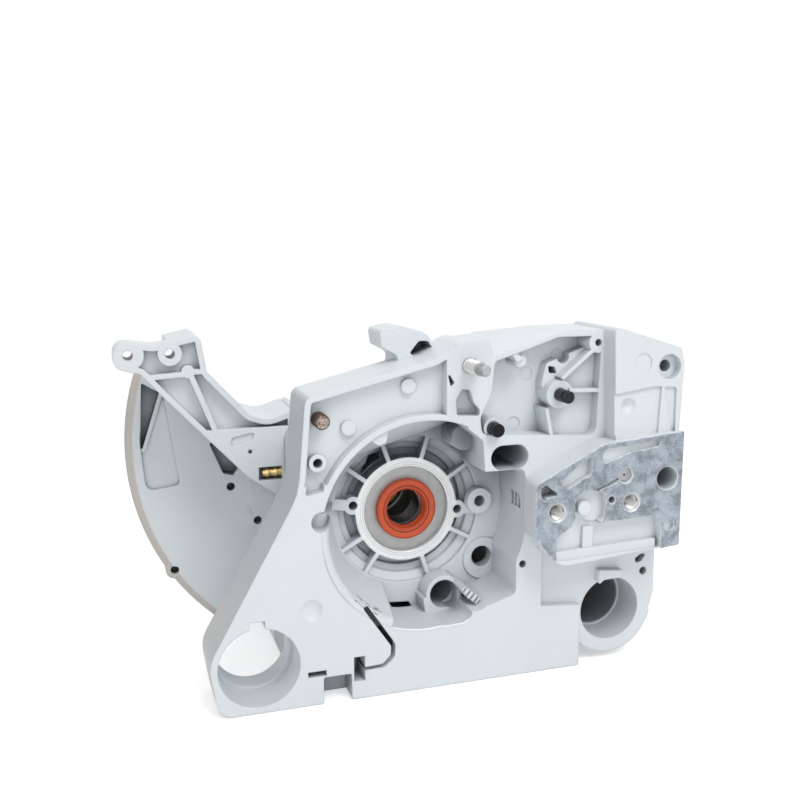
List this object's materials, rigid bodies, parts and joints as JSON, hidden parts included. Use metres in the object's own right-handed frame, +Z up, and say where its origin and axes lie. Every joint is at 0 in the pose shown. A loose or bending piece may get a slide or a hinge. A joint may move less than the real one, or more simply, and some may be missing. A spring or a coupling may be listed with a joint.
{
  "type": "chainsaw crankcase",
  "caption": "Two-half cast crankcase of a chainsaw with clutch cavity, main bearings, shaft seals, bar pad, studs and rear plate with arm.",
  "frame": {"origin": "middle of the clutch-side main bearing, on the crank axis", "axes": "+X towards the guide bar, +Y along the crank axis from the clutch side to the fan side, +Z up"},
  "size_m": [0.2415, 0.1266, 0.1584],
  "materials": {
    "clutch_casting": "pale grey satin paint with bare machined faces",
    "fan_casting": "pale grey satin paint",
    "gasket_sheet": "dark fibre sheet, matt",
    "cage_brass": "satin brass",
    "seal_rubber": "orange-red rubber, smooth",
    "nipple_brass": "bright turned brass",
    "black_steel": "blackened, oily",
    "rusty_steel": "rusty brown thread",
    "zinc_steel": "zinc plated, satin",
    "disc_steel": "turned steel",
    "bearing_steel": "ground steel"
  },
  "bodies": {
    "case": {"clutch_side_half": "clutch_casting", "fan_side_half": "fan_casting", "crankcase_gasket": "gasket_sheet", "clutch_bearing_outer_ring": "bearing_steel", "fan_bearing_outer_ring": "bearing_steel", "seal_carrier_disc": "disc_steel", "clutch_side_seal": "seal_rubber", "clutch_seal_spring": "bearing_steel", "fan_side_seal": "seal_rubber", "fan_seal_spring": "bearing_steel", "brake_band_stud": "zinc_steel", "brake_lever_pin": "black_steel", "brake_spring_pin": "black_steel", "rear_cover_stud": "rusty_steel", "impulse_nipple": "nipple_brass", "oil_passage_plug": "bearing_steel", "crankcase_screws": "zinc_steel", "locating_sleeves": "bearing_steel"},
    "clutch_race": {"clutch_bearing_inner_ring": "bearing_steel"},
    "clutch_cage": {"clutch_bearing_cage": "cage_brass", "clutch_bearing_balls": "bearing_steel"},
    "fan_race": {"fan_bearing_inner_ring": "bearing_steel"},
    "fan_cage": {"fan_bearing_cage": "cage_brass", "fan_bearing_balls": "bearing_steel"}
  },
  "joints": [
    {"name": "clutch_race_spin", "type": "hinge", "parent": "case", "child": "clutch_race", "pos_m": [0, 0, 0], "axis": [0, 1, 0], "continuous": true},
    {"name": "clutch_cage_spin", "type": "hinge", "parent": "case", "child": "clutch_cage", "pos_m": [0, 0, 0], "axis": [0, 1, 0], "continuous": true},
    {"name": "fan_race_spin", "type": "hinge", "parent": "case", "child": "fan_race", "pos_m": [0, 0.046, 0], "axis": [0, 1, 0], "continuous": true},
    {"name": "fan_cage_spin", "type": "hinge", "parent": "case", "child": "fan_cage", "pos_m": [0, 0.046, 0], "axis": [0, 1, 0], "continuous": true}
  ],
  "couplings": [
    {"joint": "clutch_cage_spin", "follows": "clutch_race_spin", "ratio": 0.38158},
    {"joint": "fan_cage_spin", "follows": "fan_race_spin", "ratio": 0.38158}
  ]
}
